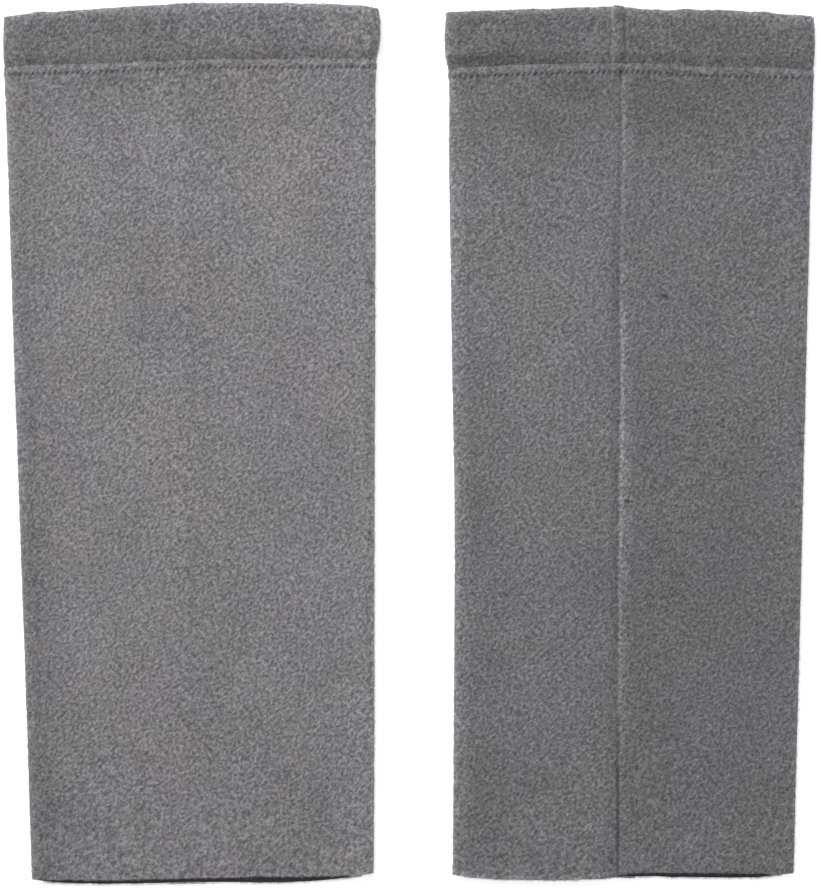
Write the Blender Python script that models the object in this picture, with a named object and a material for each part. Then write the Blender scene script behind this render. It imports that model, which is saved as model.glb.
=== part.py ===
"""A pair of knee warmers laid flat side by side: two tapered knit tubes, each with a doubled band.

Blender works in metres with +Z up; the sizes below are millimetres and MM turns them into metres.
The pair lies on z = 0 with its length along Y, the thigh bands at +Y and the open calf hems at -Y.
The left warmer shows its plain front. The right one shows its back, with the seam down the middle.
"""
import math

import bmesh
import bpy

MM = 0.001

# Cloth, in millimetres like every size in the tables
PLY = 1.3            # one ply of the brushed knit
SEAM_GAP = 0.3       # clearance between the plies of a band, and between band and body
BAND_WALL = 2 * PLY + SEAM_GAP
TURN_IN_WALL = 2.5   # the body's turned-in edge: two plies, stitched flat

# The pair as it lies
LENGTH = 401.8       # from the highest band edge to the lowest hem
BAND_HEIGHT = 25.1   # middle of a band, fold to seam
BODY_LENGTH = 371.5  # middle of a body, seam to hem
BAND_RISE = 6.2      # thickness of the flattened band
STRIP_RISE = 5.4     # the same over the turned-in, topstitched edge of the body
BODY_RISE = 4.2      # the same over the body's two layers
HEM_RISE = 3.7       # the cut hems lie flatter
STITCH_DOWN = 4.0    # topstitch row below the seam
FOLD_REACH = 5.5     # how far in from the side the rounding of a side fold runs

# Loop round the tube: points on each side fold, on the plain top stretches and on the underside
FOLD_POINTS = 7
TOP_STEPS = 4
UNDER_STEPS = 8

# Side outlines by distance down from the top of the pair
# down, left edge, right edge
SIDES = {
    "left": [
        (0.0, -184.6, -13.6),
        (12.0, -184.9, -13.0),
        (22.0, -184.8, -14.0),
        (29.0, -184.3, -15.0),
        (60.0, -183.2, -15.3),
        (145.0, -180.5, -15.4),
        (235.0, -177.5, -15.7),
        (320.0, -174.4, -15.8),
        (402.0, -171.9, -16.1),
    ],
    "right": [
        (0.0, 16.7, 184.6),
        (14.0, 16.2, 184.9),
        (22.0, 16.8, 184.8),
        (30.0, 18.0, 184.6),
        (60.0, 18.4, 183.8),
        (145.0, 19.6, 181.6),
        (235.0, 20.9, 179.5),
        (320.0, 20.4, 177.4),
        (402.0, 20.3, 175.4),
    ],
}

# Cross edges by position across, 0 at the left fold and 1 at the right fold, all measured down
# across, top edge, band seam, hem of the upper layer, hem of the under layer
ENDS = {
    "left": [
        (0.0, 6.4, 29.2, 399.4, 399.9),
        (0.1, 4.6, 28.5, 399.6, 401.4),
        (0.3, 2.2, 27.5, 399.4, 401.6),
        (0.5, 0.3, 26.0, 398.8, 401.0),
        (0.7, 0.0, 25.8, 398.0, 401.1),
        (0.9, 0.7, 25.4, 397.7, 399.6),
        (1.0, 2.3, 25.3, 396.7, 397.6),
    ],
    "right": [
        (0.0, 4.6, 29.8, 397.2, 397.0),
        (0.1, 3.5, 29.2, 399.3, 398.8),
        (0.3, 2.5, 28.1, 400.0, 399.2),
        (0.46, 2.2, 27.4, 399.2, 398.9),
        (0.54, 2.2, 27.5, 397.5, 398.6),
        (0.7, 3.2, 29.3, 396.7, 398.7),
        (0.9, 4.9, 29.9, 397.0, 398.8),
        (1.0, 6.2, 30.4, 396.1, 397.0),
    ],
}

# The line down each upper layer: the back seam, or the soft ridge over the seam beneath
# x at the top, x at the hem, raise of the band's top edge where the seam's plies pile up
LINE = {
    "left": (-101.0, -101.0, 0.0),
    "right": (96.5, 95.2, 1.0),
}

# Relief beside that line
# offset, rise on the body, rise on the band
RELIEF = {
    "left": [
        (-18.0, 0.0, 0.0),
        (-7.0, 0.35, 0.2),
        (0.0, 0.55, 0.25),
        (3.5, 0.15, 0.1),
        (13.0, 0.0, 0.0),
    ],
    "right": [
        (-8.5, 0.0, 0.0),
        (-6.6, 0.15, 0.1),
        (-5.2, 0.2, 0.8),
        (-2.8, 0.1, 1.3),
        (-0.8, -0.05, 1.25),
        (0.0, -0.3, 1.05),
        (1.0, 0.2, 0.5),
        (2.0, 0.4, -0.1),
        (4.0, 0.45, 0.0),
        (9.0, 0.0, 0.0),
    ],
}

# Outside of the body below its top edge, down to the stitches
# below the seam, thickness of the flattened tube, depth into the wall
EDGE_ROWS = [
    (0.3, STRIP_RISE, 0.9),
    (0.6, STRIP_RISE, 0.45),
    (1.1, STRIP_RISE, 0.15),
    (2.2, STRIP_RISE, 0.0),
    (3.2, STRIP_RISE - 0.1, 0.0),
    (STITCH_DOWN, 5.1, 0.0),
    (STITCH_DOWN + 1.6, 4.9, 0.0),
]

# Below the stitches the flattened tube thins slowly
# distance below the seam, thickness
BODY_RISES = [
    (5.6, 4.9),
    (10.0, 4.7),
    (20.0, 4.4),
    (35.0, BODY_RISE),
    (295.0, BODY_RISE),
    (371.5, HEM_RISE),
]
OUTER_STEP = 20.0    # spacing of the body's outer rings below the stitches
INNER_STEP = 60.0    # and of its inner rings

COLOURS = {
    "left_body": (0.205, 0.197, 0.210, 1.0),
    "left_band": (0.178, 0.171, 0.183, 1.0),
    "right_body": (0.162, 0.156, 0.167, 1.0),
    "right_band": (0.150, 0.144, 0.155, 1.0),
}


def smooth(rows, column, at):
    """Value of one column at a place, on a smooth curve through the rows."""
    if at <= rows[0][0]:
        return rows[0][column]
    if at >= rows[-1][0]:
        return rows[-1][column]
    last = len(rows) - 1
    i = max(k for k in range(last) if rows[k][0] <= at)
    x0, x1 = rows[i][0], rows[i + 1][0]
    y0, y1 = rows[i][column], rows[i + 1][column]

    def slope(k):
        low, high = max(k - 1, 0), min(k + 1, last)
        return (rows[high][column] - rows[low][column]) / (rows[high][0] - rows[low][0])

    span = x1 - x0
    t = (at - x0) / span
    ease = t * t * (3 - 2 * t)
    bend = slope(i) * t * (1 - t) ** 2 - slope(i + 1) * t * t * (1 - t)
    return y0 + (y1 - y0) * ease + span * bend


def across_places(side, down):
    """x of every column on the upper layer between the two side folds, left to right."""
    left = smooth(SIDES[side], 1, down) + FOLD_REACH
    right = smooth(SIDES[side], 2, down) - FOLD_REACH
    top, hem, _ = LINE[side]
    line = top + (hem - top) * down / LENGTH
    beside = [line + row[0] for row in RELIEF[side]]
    plain_left = [left + (beside[0] - left) * k / TOP_STEPS for k in range(TOP_STEPS)]
    plain_right = [beside[-1] + (right - beside[-1]) * (k + 1) / TOP_STEPS for k in range(TOP_STEPS)]
    rises = [(0.0, 0.0)] * TOP_STEPS + [row[1:] for row in RELIEF[side]] + [(0.0, 0.0)] * TOP_STEPS
    return list(zip(plain_left + beside + plain_right, rises))


def lengthwise(side, piece, along, across, upper):
    """Distance down the pair of a point that lies `along` its piece; upper is 1 above, 0 below."""
    top, seam = (smooth(ENDS[side], c, across) for c in (1, 2))
    if piece == "band":
        top += 0.5 * (1 - upper)
        return top + along * (seam - top) / BAND_HEIGHT
    hem = smooth(ENDS[side], 3, across) * upper + smooth(ENDS[side], 4, across) * (1 - upper)
    return seam + along * (hem - seam) / BODY_LENGTH


def loop(side, piece, along, rise, depth):
    """One loop round the flattened tube, `depth` inside its outer face, as points in millimetres."""
    down = along if piece == "band" else BAND_HEIGHT + along
    left, right = (smooth(SIDES[side], c, down) for c in (1, 2))
    half = rise / 2
    reach = FOLD_REACH - depth
    relief_share = max(0.0, 1 - depth / PLY)
    peak = LINE[side][2] * max(0.0, 1 - along / BAND_HEIGHT) if piece == "band" else 0.0
    points = []

    def add(x, z, upper, lift=0.0):
        across = min(max((x - left) / (right - left), 0.0), 1.0)
        y = LENGTH / 2 - lengthwise(side, piece, along, across, upper) + lift
        points.append((x, y, z))

    for x, rises in across_places(side, down):
        height = rises[0 if piece == "body" else 1]
        add(x, rise - depth + height * relief_share, 1.0, peak * max(height, 0.0))
    for k in range(1, FOLD_POINTS + 1):
        turn = math.pi / 2 - math.pi * k / (FOLD_POINTS + 1)
        x = right - FOLD_REACH + reach * math.cos(turn)
        add(x, half + (half - depth) * math.sin(turn), 0.5 + 0.5 * math.sin(turn))
    for k in range(UNDER_STEPS + 1):
        x = right - FOLD_REACH + (left - right + 2 * FOLD_REACH) * k / UNDER_STEPS
        add(x, depth, 0.0)
    for k in range(1, FOLD_POINTS + 1):
        turn = -math.pi / 2 + math.pi * k / (FOLD_POINTS + 1)
        x = left + FOLD_REACH - reach * math.cos(turn)
        add(x, half + (half - depth) * math.sin(turn), 0.5 + 0.5 * math.sin(turn))
    return points


def body_rings(side):
    """Rings of the body's wall: down its outside, round the cut hem and back up its inside."""
    outer = [loop(side, "body", *row) for row in EDGE_ROWS]
    start = EDGE_ROWS[-1][0]
    steps = round((BODY_LENGTH - start) / OUTER_STEP)
    for k in range(1, steps + 1):
        along = start + (BODY_LENGTH - start) * k / steps
        outer.append(loop(side, "body", along, smooth(BODY_RISES, 1, along), 0.0))
    inner = [loop(side, "body", BODY_LENGTH, HEM_RISE, PLY)]
    below = STITCH_DOWN + 1.6
    steps = round((BODY_LENGTH - below) / INNER_STEP)
    for k in range(1, steps + 1):
        inner.append(loop(side, "body", BODY_LENGTH - (BODY_LENGTH - below) * k / steps, BODY_RISE, PLY))
    inner.append(loop(side, "body", STITCH_DOWN, STRIP_RISE, TURN_IN_WALL))
    inner.append(loop(side, "body", 0.7, STRIP_RISE, TURN_IN_WALL))
    inner.append(loop(side, "body", SEAM_GAP, STRIP_RISE, TURN_IN_WALL - 0.4))
    return outer + inner


def band_rings(side):
    """Rings of the doubled band: outer ply, fold at the top, inner ply, and the slit between them."""
    turn = BAND_WALL / 2
    slit_top = turn + PLY
    rows = [(BAND_HEIGHT, 0.95), (BAND_HEIGHT - 0.4, 0.5), (BAND_HEIGHT - 1.0, 0.2)]
    rows += [(BAND_HEIGHT - 2.2, 0.0), (BAND_HEIGHT * 0.6, 0.0), (BAND_HEIGHT * 0.3, 0.0)]
    fold_steps = 6
    for k in range(fold_steps + 1):
        angle = math.pi * k / fold_steps
        rows.append((turn - turn * math.sin(angle), turn - turn * math.cos(angle)))
    rows += [(BAND_HEIGHT * 0.5, BAND_WALL), (BAND_HEIGHT, BAND_WALL)]
    rows += [(BAND_HEIGHT, PLY + SEAM_GAP), (slit_top, PLY + SEAM_GAP)]
    rows += [(slit_top, PLY), (BAND_HEIGHT, PLY)]
    return [loop(side, "band", along, BAND_RISE, depth) for along, depth in rows]


def make_piece(name, rings, parent, collection):
    """A closed wall through the rings, each joined to the next and the last one to the first."""
    bm = bmesh.new()
    centre = parent.location
    grid = [[bm.verts.new((x * MM - centre.x, y * MM - centre.y, z * MM)) for x, y, z in ring]
            for ring in rings]
    count = len(grid[0])
    for i, ring in enumerate(grid):
        after = grid[(i + 1) % len(grid)]
        for k in range(count):
            j = (k + 1) % count
            bm.faces.new((ring[k], ring[j], after[j], after[k]))
    bmesh.ops.recalc_face_normals(bm, faces=bm.faces)
    mesh = bpy.data.meshes.new(name)
    bm.to_mesh(mesh)
    bm.free()
    mesh.shade_smooth()
    mesh.set_sharp_from_angle(angle=math.radians(50))
    piece = bpy.data.objects.new(name, mesh)
    piece.parent = parent
    collection.objects.link(piece)
    mesh.materials.append(knit_material(name))
    return piece


def knit_material(name):
    """Matt grey brushed knit."""
    material = bpy.data.materials.new(name + "_knit")
    material.use_nodes = True
    shader = material.node_tree.nodes["Principled BSDF"]
    shader.inputs["Base Color"].default_value = COLOURS[name]
    shader.inputs["Roughness"].default_value = 0.95
    shader.inputs["Metallic"].default_value = 0.0
    return material


def main():
    for old in list(bpy.data.objects):
        bpy.data.objects.remove(old, do_unlink=True)
    collection = bpy.data.collections.new("knee_warmers")
    bpy.context.scene.collection.children.link(collection)
    for side in ("left", "right"):
        middle = (smooth(SIDES[side], 1, LENGTH / 2) + smooth(SIDES[side], 2, LENGTH / 2)) / 2
        warmer = bpy.data.objects.new(side + "_warmer", None)
        warmer.location = (middle * MM, 0.0, 0.0)
        collection.objects.link(warmer)
        make_piece(side + "_body", body_rings(side), warmer, collection)
        make_piece(side + "_band", band_rings(side), warmer, collection)


main()
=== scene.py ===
import math

import bpy
import numpy as np
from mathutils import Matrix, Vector


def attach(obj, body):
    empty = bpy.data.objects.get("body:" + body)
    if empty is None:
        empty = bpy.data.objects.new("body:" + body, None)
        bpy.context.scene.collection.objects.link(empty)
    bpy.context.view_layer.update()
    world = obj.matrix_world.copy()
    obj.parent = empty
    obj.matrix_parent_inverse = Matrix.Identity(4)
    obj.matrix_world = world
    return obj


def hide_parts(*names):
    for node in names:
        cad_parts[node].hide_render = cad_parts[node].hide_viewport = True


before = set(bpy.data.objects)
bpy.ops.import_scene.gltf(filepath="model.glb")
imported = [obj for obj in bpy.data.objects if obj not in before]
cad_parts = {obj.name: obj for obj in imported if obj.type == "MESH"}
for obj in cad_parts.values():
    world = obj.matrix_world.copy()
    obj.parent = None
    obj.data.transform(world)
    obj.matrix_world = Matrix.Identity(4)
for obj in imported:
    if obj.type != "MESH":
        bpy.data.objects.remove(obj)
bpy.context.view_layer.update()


# Bodies
# Each body is one piece of grey brushed knit, cut on a taper, rolled into a tube and closed with a
# seam down the back. Its top edge is turned in under the topstitch, and its hem is a raw cut.

MM = 0.001                 # the sizes in this file are millimetres
LENGTH = 401.8             # the pair, from the highest band edge to the lowest hem
BODY_LENGTH = 371.5        # middle of a body, seam to hem
BAND_HEIGHT = 25.1         # middle of a band, fold to seam
PLY = 1.3                  # one ply of knit
SEAM_GAP = 0.3             # space between the two plies of a band
BAND_WALL = 2 * PLY + SEAM_GAP
SEAM_SAG = 0.35            # the stuffed seam line lies this much lower than the cut lines
TURN_IN_WALL = 2.5         # two plies, stitched flat
STRIP_RISE = 5.4           # flattened thickness over the turned-in edge
BODY_RISE = 4.2            # over the body's two layers
HEM_RISE = 3.7             # at the cut hem
STITCH_DOWN = 4.0          # topstitch row below the seam
STITCH = 2.6               # stitch length
FOLD_REACH = 5.5           # rounding of a side fold, measured in from the side
FOLD_POINTS = 8            # points round each side fold
CORNER_REACH = 2.6         # a band's top fold keeps its corners square within this
CORNER_FADE = 0.8
KNIT_STEP = 0.65           # grid over the upper layer, across
SEAM_STEP = {"left": KNIT_STEP, "right": KNIT_STEP * 0.6}   # and beside the line down its middle
ROW_STEP = 1.4             # the same, down it
HIDDEN_STEP = 6.0          # grid of the underside
GROOVE_STEP = 1.0          # and beside the same line underneath
GROOVE_REACH = 8.0
RELIEF_FADE = 8.0          # a band's relief fades out this far below the seam
OFF_LINE = 99.0            # offset given to places on the side folds, far from the line

# Side outlines: distance down the pair, left edge, right edge
SIDES = {
    "left": [
        (0.0, -184.6, -13.6),
        (12.0, -184.9, -13.0),
        (22.0, -184.8, -14.0),
        (29.0, -184.3, -15.0),
        (60.0, -183.2, -15.3),
        (145.0, -180.5, -15.4),
        (235.0, -177.5, -15.7),
        (320.0, -174.4, -15.8),
        (402.0, -171.9, -16.1),
    ],
    "right": [
        (0.0, 16.7, 184.6),
        (14.0, 16.2, 184.9),
        (22.0, 16.9, 184.5),
        (30.0, 18.2, 184.3),
        (60.0, 18.2, 183.6),
        (145.0, 19.3, 181.4),
        (235.0, 20.8, 179.3),
        (320.0, 20.4, 177.3),
        (402.0, 19.8, 175.3),
    ],
}

# Cross edges, as distances down the pair: place across from 0 to 1, top edge, band seam, upper
# layer's hem, under layer's hem
ENDS = {
    "left": [
        (0.0, 6.5, 29.2, 399.4, 399.9),
        (0.1, 4.7, 28.5, 399.6, 401.5),
        (0.3, 2.4, 27.5, 399.4, 401.8),
        (0.5, 0.5, 26.0, 398.8, 401.0),
        (0.7, 0.35, 25.8, 398.1, 401.2),
        (0.8, 0.6, 25.6, 398.1, 400.9),
        (0.9, 1.0, 25.4, 397.6, 399.5),
        (0.95, 1.6, 25.35, 397.9, 398.3),
        (1.0, 2.4, 25.3, 396.6, 396.7),
    ],
    "right": [
        (0.0, 4.5, 29.8, 397.4, 397.2),
        (0.1, 4.0, 29.2, 399.1, 398.6),
        (0.19, 3.5, 28.7, 399.6, 398.9),
        (0.3, 2.9, 28.1, 399.8, 399.0),
        (0.41, 2.1, 27.6, 399.3, 398.8),
        (0.46, 2.0, 27.4, 398.7, 398.4),
        (0.5, 2.5, 27.4, 397.0, 398.5),
        (0.57, 3.5, 27.7, 396.3, 398.6),
        (0.68, 3.5, 29.0, 396.4, 398.7),
        (0.79, 4.0, 29.6, 396.5, 399.0),
        (0.9, 5.2, 29.9, 396.8, 398.8),
        (0.95, 5.7, 30.15, 397.3, 397.8),
        (1.0, 6.2, 30.4, 396.6, 396.9),
    ],
}

# The line down each upper layer, distance down and x: on the right warmer it is the back seam, on
# the left one the soft ridge over the seam beneath.
LINE = {
    "left": [
        (0.0, -101.0),
        (402.0, -101.0),
    ],
    "right": [
        (0.0, 96.5),
        (30.0, 96.6),
        (62.0, 96.75),
        (95.0, 96.2),
        (126.0, 95.65),
        (183.0, 95.9),
        (225.0, 95.4),
        (272.0, 95.0),
        (320.0, 95.1),
        (363.0, 95.3),
        (402.0, 95.3),
    ],
}
# The band's top edge bulges outwards there by this share of the relief
TOP_BUMP = {"left": 0.0, "right": 1.0}

# Relief beside that line: offset, rise on the body, rise on the band
RELIEF = {
    "left": [
        (-18.0, 0.0, 0.0),
        (-7.0, 0.35, 0.2),
        (0.0, 0.55, 0.25),
        (3.5, 0.15, 0.1),
        (13.0, 0.0, 0.0),
    ],
    "right": [
        (-8.5, 0.0, 0.0),
        (-5.0, 0.15, 0.0),
        (-4.4, 0.2, 0.3),
        (-3.7, 0.2, 1.1),
        (-2.8, 0.1, 1.3),
        (-1.2, -0.1, 1.3),
        (-0.3, -0.42, 1.2),
        (0.4, -0.3, 0.95),
        (1.1, 0.2, 0.4),
        (2.0, 0.4, -0.2),
        (4.0, 0.4, 0.0),
        (9.0, 0.0, 0.0),
    ],
}

# Painted light and shade in soft patches, for slow undulations, creases and shade along the folds,
# and a few dark specks of fluff: x, distance down, half length, half width, turn in degrees and change
# of tone
PAINTED_SHADING_AND_SPECKS = {
    "left": [
        (-172, 290, 120, 7, 92, -0.140),
        (-179, 130, 60, 6, 92, -0.060),
        (-19, 120, 130, 5, 90, 0.060),
        (-19, 372, 30, 6, 90, 0.080),
        (-120, 40, 60, 16, 0, -0.090),
        (-40, 40, 40, 12, 0, -0.042),
        (-100, 385, 100, 50, 0, -0.060),
        (-93, 149, 87, 5, 90, -0.035),
        (-111, 135, 82, 7, 90, 0.020),
        (-139, 36, 23, 4, 0, -0.120),
        (-85, 58, 18, 4, 75, -0.070),
        (-47, 58, 18, 11, 60, 0.049),
        (-29, 97, 23, 5, 80, 0.056),
        (-145, 135, 23, 14, 20, 0.056),
        (-63, 174, 27, 16, 20, 0.042),
        (-54, 221, 25, 5, 10, -0.084),
        (-31, 304, 21, 6, 30, -0.084),
        (-27, 284, 9, 5, 0, 0.070),
        (-88, 334, 23, 6, 25, -0.070),
        (-159, 370, 14, 11, -40, -0.098),
        (-41, 368, 21, 5, 85, -0.084),
        (-136, 254, 14, 11, 0, -0.042),
        (-148, 290, 23, 9, 10, 0.042),
    ],
    "right": [
        (100, 42, 110, 28, 0, -0.215),
        (100, 290, 160, 120, 90, -0.045),
        (140, 310, 110, 45, 90, -0.085),
        (38, 250, 120, 8, 90, -0.050),
        (60, 175, 80, 30, 90, 0.045),
        (77, 39, 12, 4.5, -5, -0.200),
        (62, 58, 11, 6, -40, -0.130),
        (69, 135, 23, 18, 90, 0.042),
        (93.5, 131, 23, 1.6, 90, -0.130),
        (112, 218, 59, 10, 90, -0.056),
        (114, 345, 32, 10, 100, -0.070),
        (139, 334, 15, 3, -35, 0.070),
        (168, 292, 14, 5, 60, -0.120),
        (37, 297, 11, 6, -30, -0.120),
        (35, 363, 23, 10, 90, -0.084),
        (69, 373, 23, 6, 90, 0.056),
        (153, 149, 27, 14, 90, 0.042),
        (172, 60, 60, 5, 91, 0.060),
        (90.6, 387, 5, 0.5, 90, -0.100),
        (93, 392.6, 2.5, 0.6, 0, -0.080),
        (115.8, 134.2, 2.4, 1.6, -10, -0.300),
        (116.0, 138.0, 2.4, 1.2, 0, -0.120),
    ],
}

# Painted light and shade of the nap in from each fold, for its rim seen edge-on: distance, at the left
# fold, at the right one
FOLD_RIM_SHADING = {
    "left": [
        (0.0, 1.10, 1.50),
        (0.9, 0.98, 1.58),
        (1.8, 0.95, 1.13),
        (3.6, 0.90, 1.05),
        (5.5, 0.86, 1.05),
        (9.0, 0.89, 1.03),
        (14.0, 0.92, 1.01),
        (20.0, 0.96, 1.00),
        (28.0, 1.00, 1.00),
    ],
    "right": [
        (0.0, 1.35, 1.40),
        (0.9, 1.42, 1.55),
        (1.8, 1.31, 1.22),
        (2.7, 1.21, 1.10),
        (3.6, 1.13, 1.06),
        (5.5, 1.05, 1.02),
        (9.0, 0.98, 1.01),
        (14.0, 1.00, 1.00),
    ],
}


def smooth(rows, column, at):
    """Values of one column at any places, on a smooth curve through the rows."""
    xs = np.array([row[0] for row in rows])
    ys = np.array([row[column] for row in rows])
    slope = np.empty(len(xs))
    slope[1:-1] = (ys[2:] - ys[:-2]) / (xs[2:] - xs[:-2])
    slope[0] = (ys[1] - ys[0]) / (xs[1] - xs[0])
    slope[-1] = (ys[-1] - ys[-2]) / (xs[-1] - xs[-2])
    at = np.clip(at, xs[0], xs[-1])
    i = np.clip(np.searchsorted(xs, at, side="right") - 1, 0, len(xs) - 2)
    span = xs[i + 1] - xs[i]
    t = (at - xs[i]) / span
    bend = slope[i] * t * (1 - t) ** 2 - slope[i + 1] * t * t * (1 - t)
    return ys[i] + (ys[i + 1] - ys[i]) * t * t * (3 - 2 * t) + span * bend


def swell(across, down, size, seed):
    """Soft random swellings of the cloth, about `size` apart and of unit height."""
    table = np.random.default_rng(seed).standard_normal((256, 256))
    u, v = across / size + 300, down / size + 300
    i, j = np.floor(u).astype(int), np.floor(v).astype(int)
    a, b = u - i, v - j
    a, b = a * a * (3 - 2 * a), b * b * (3 - 2 * b)
    near = table[i % 256, j % 256] * (1 - a) + table[(i + 1) % 256, j % 256] * a
    far = table[i % 256, (j + 1) % 256] * (1 - a) + table[(i + 1) % 256, (j + 1) % 256] * a
    return near * (1 - b) + far * b


def swellings(rows, across, down, seed):
    """Sum of swellings, from rows of size, height and number of the draw after the seed."""
    total = 0
    for size, height, after in rows:
        total = total + height * swell(across, down, size, seed + after)
    return total


def bell(distance, width):
    """1 at the middle of a small form and fading beside it."""
    return np.exp(-((distance / width) ** 2))


def painted_shading(rows, points, layer):
    """Painted light and shade in soft patches, and a few dark specks, on the upper layer only."""
    tone = np.ones(points.shape[:2])
    for x, down, half_long, half_wide, turn, change in rows:
        right, up = points[..., 0] - x, points[..., 1] - (LENGTH / 2 - down)
        c, s = math.cos(math.radians(turn)), math.sin(math.radians(turn))
        along, aside = c * right + s * up, c * up - s * right
        tone += change * bell(along, half_long) * bell(aside, half_wide) * (layer > 0.3)
    return tone


def fold_rim_shading(side, points, layer):
    """Painted light and shade of the nap near the two folds, for the rim where it stands up and catches
    light.
    """
    down = LENGTH / 2 - points[..., 1]
    from_left = points[..., 0] - smooth(SIDES[side], 1, down)
    from_right = smooth(SIDES[side], 2, down) - points[..., 0]
    tone = smooth(FOLD_RIM_SHADING[side], 1, from_left) * smooth(FOLD_RIM_SHADING[side], 2, from_right)
    return 1 + (tone - 1) * np.clip(layer * 3, 0, 1)


def tube(side, piece, along, rise, depth):
    """Points of rings round a flattened tube, each `along` its piece and `depth` inside its face.

    `rise` is the flattened thickness there. Also gives each point's outward x and z, its place
    round the cloth, its offset from the line and its layer, 1 above and 0 below.
    """
    along, rise, depth = (np.array(v, float)[:, None] for v in (along, rise, depth))
    down = along if piece == "band" else BAND_HEIGHT + along
    left, right = smooth(SIDES[side], 1, down), smooth(SIDES[side], 2, down)
    line = smooth(LINE[side], 1, down)
    first, last = RELIEF[side][0][0] - 1, RELIEF[side][-1][0] + 1
    inner_left, inner_right = left + FOLD_REACH, right - FOLD_REACH

    def stretch(start, stop, step, ends=False):
        count = max(2, round(float(abs(stop - start)[0, 0]) / step))
        return start + (stop - start) * np.linspace(0, 1, count, endpoint=ends)[None, :]

    upper_x = np.hstack([
        stretch(inner_left, line + first, KNIT_STEP),
        stretch(line + first, line + last, SEAM_STEP[side]),
        stretch(line + last, inner_right, KNIT_STEP, True),
    ])
    turns = np.pi / 2 - np.pi * np.arange(1, FOLD_POINTS + 1)[None, :] / (FOLD_POINTS + 1)
    # The band's corners stay square: its top fold hardly draws the side folds in
    tucked = np.interp(depth, (0, BAND_WALL / 2, BAND_WALL), (0, 0.35, BAND_WALL))
    by_fold = 0
    if piece == "band":
        by_fold = np.clip((CORNER_REACH - along) / CORNER_FADE, 0, 1)
    reach = FOLD_REACH - depth * (1 - by_fold) - tucked * by_fold
    half = rise / 2
    under_x = np.hstack([
        stretch(inner_right, line + GROOVE_REACH, HIDDEN_STEP),
        stretch(line + GROOVE_REACH, line - GROOVE_REACH, GROOVE_STEP),
        stretch(line - GROOVE_REACH, inner_left, HIDDEN_STEP, True),
    ])
    flat = np.ones_like(upper_x)
    flat_under = np.ones_like(under_x)
    round_x, round_z = np.cos(turns) + 0 * down, np.sin(turns) + 0 * down
    back_x, back_z = round_x[:, ::-1], round_z[:, ::-1]
    # Each ring runs over the upper layer, down the right fold, back underneath and up the left fold
    x = np.hstack([upper_x, inner_right + reach * round_x, under_x, inner_left - reach * back_x])
    z = np.hstack([(rise - depth) * flat, half + (half - depth) * round_z, depth * flat_under,
                   half + (half - depth) * back_z])
    out_x = np.hstack([0 * flat, round_x, 0 * flat_under, -back_x])
    out_z = np.hstack([flat, round_z, -flat_under, back_z])
    layer = 0.5 + 0.5 * out_z
    off_line = OFF_LINE + 0 * round_x
    offset = np.hstack([upper_x - line, off_line, under_x - line, -off_line])
    arc = FOLD_REACH * (np.pi / 2 - turns)
    place = np.hstack([upper_x, inner_right + arc, under_x, inner_left - arc[:, ::-1]])

    across = np.clip((x - left) / (right - left), 0, 1)
    seam = smooth(ENDS[side], 2, across) + SEAM_SAG
    if piece == "band":
        # Underneath, the top edge lies half a millimetre lower
        start = smooth(ENDS[side], 1, across) + 0.5 * (1 - layer)
        y = start + along * (seam - start) / BAND_HEIGHT
        on_band = 1.0
    else:
        end = smooth(ENDS[side], 3, across) * layer + smooth(ENDS[side], 4, across) * (1 - layer)
        y = seam + along * (end - seam) / BODY_LENGTH
        on_band = np.clip(1 - along / RELIEF_FADE, 0, 1)
    y = LENGTH / 2 - y

    on_body = smooth(RELIEF[side], 1, offset) * (1 - on_band)
    on_band = smooth(RELIEF[side], 2, offset) * on_band
    relief = np.clip(1 - depth / PLY, 0, 1) * (layer == 1) * (on_body + on_band)
    z = z + relief
    if piece == "band":
        y = y + TOP_BUMP[side] * np.clip(1 - along / BAND_HEIGHT, 0, 1) * np.maximum(relief, 0)
    points = np.stack([x, y, z], axis=-1)
    return points, out_x, out_z, place, offset, layer


def stitch_phase(points):
    """Angle of each column round the topstitch row: a needle hole lies at every whole turn."""
    steps = np.linalg.norm(np.roll(points, -1, axis=0) - points, axis=1)
    walked = np.concatenate([[0.0], np.cumsum(steps)])
    stitches = round(walked[-1] / STITCH)
    return walked[:-1] / walked[-1] * stitches * 2 * np.pi, stitches


def pushed(points, out_x, out_z, layer, push):
    """The points moved outwards by `push`, less towards the underside, which stays flat."""
    push = push * np.clip(layer * 1.6, 0, 1) * (1 - 0.6 * out_x ** 2)
    moved = points.copy()
    moved[..., 0] += out_x * push
    moved[..., 2] = np.maximum(moved[..., 2] + out_z * push, 0.0)
    return moved


def mark(piece, name, values):
    """Stores one value for each point of a piece, for its material to read."""
    store = piece.data.attributes.new(name, "FLOAT", "POINT")
    store.data.foreach_set("value", values.ravel())


def new_piece(name, mesh):
    """Puts a finished mesh into the scene, smooth-shaded."""
    mesh.shade_smooth()
    piece = bpy.data.objects.new(name, mesh)
    bpy.context.scene.collection.objects.link(piece)
    return piece


def cloth_wall(name, rings, outer_rows, tone):
    """A closed wall through the rings, ring after ring, with the last one joined to the first.

    The rings from `outer_rows` on take the second material, the knit's inner face.
    """
    rows, columns, _ = rings.shape
    index = np.arange(rows * columns).reshape(rows, columns)
    after, beside = np.roll(index, -1, axis=0), np.roll(index, -1, axis=1)
    faces = np.stack([index, after, np.roll(after, -1, axis=1), beside], axis=-1).reshape(-1, 4)
    mesh = bpy.data.meshes.new(name)
    mesh.from_pydata((rings.reshape(-1, 3) * MM).tolist(), [], faces.tolist())
    inside = (np.repeat(np.arange(rows), columns) >= outer_rows).astype(np.int32)
    mesh.polygons.foreach_set("material_index", inside)
    piece = new_piece(name, mesh)
    mesh.set_sharp_from_angle(angle=math.radians(60))
    mark(piece, "tone", tone)
    return piece


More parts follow.
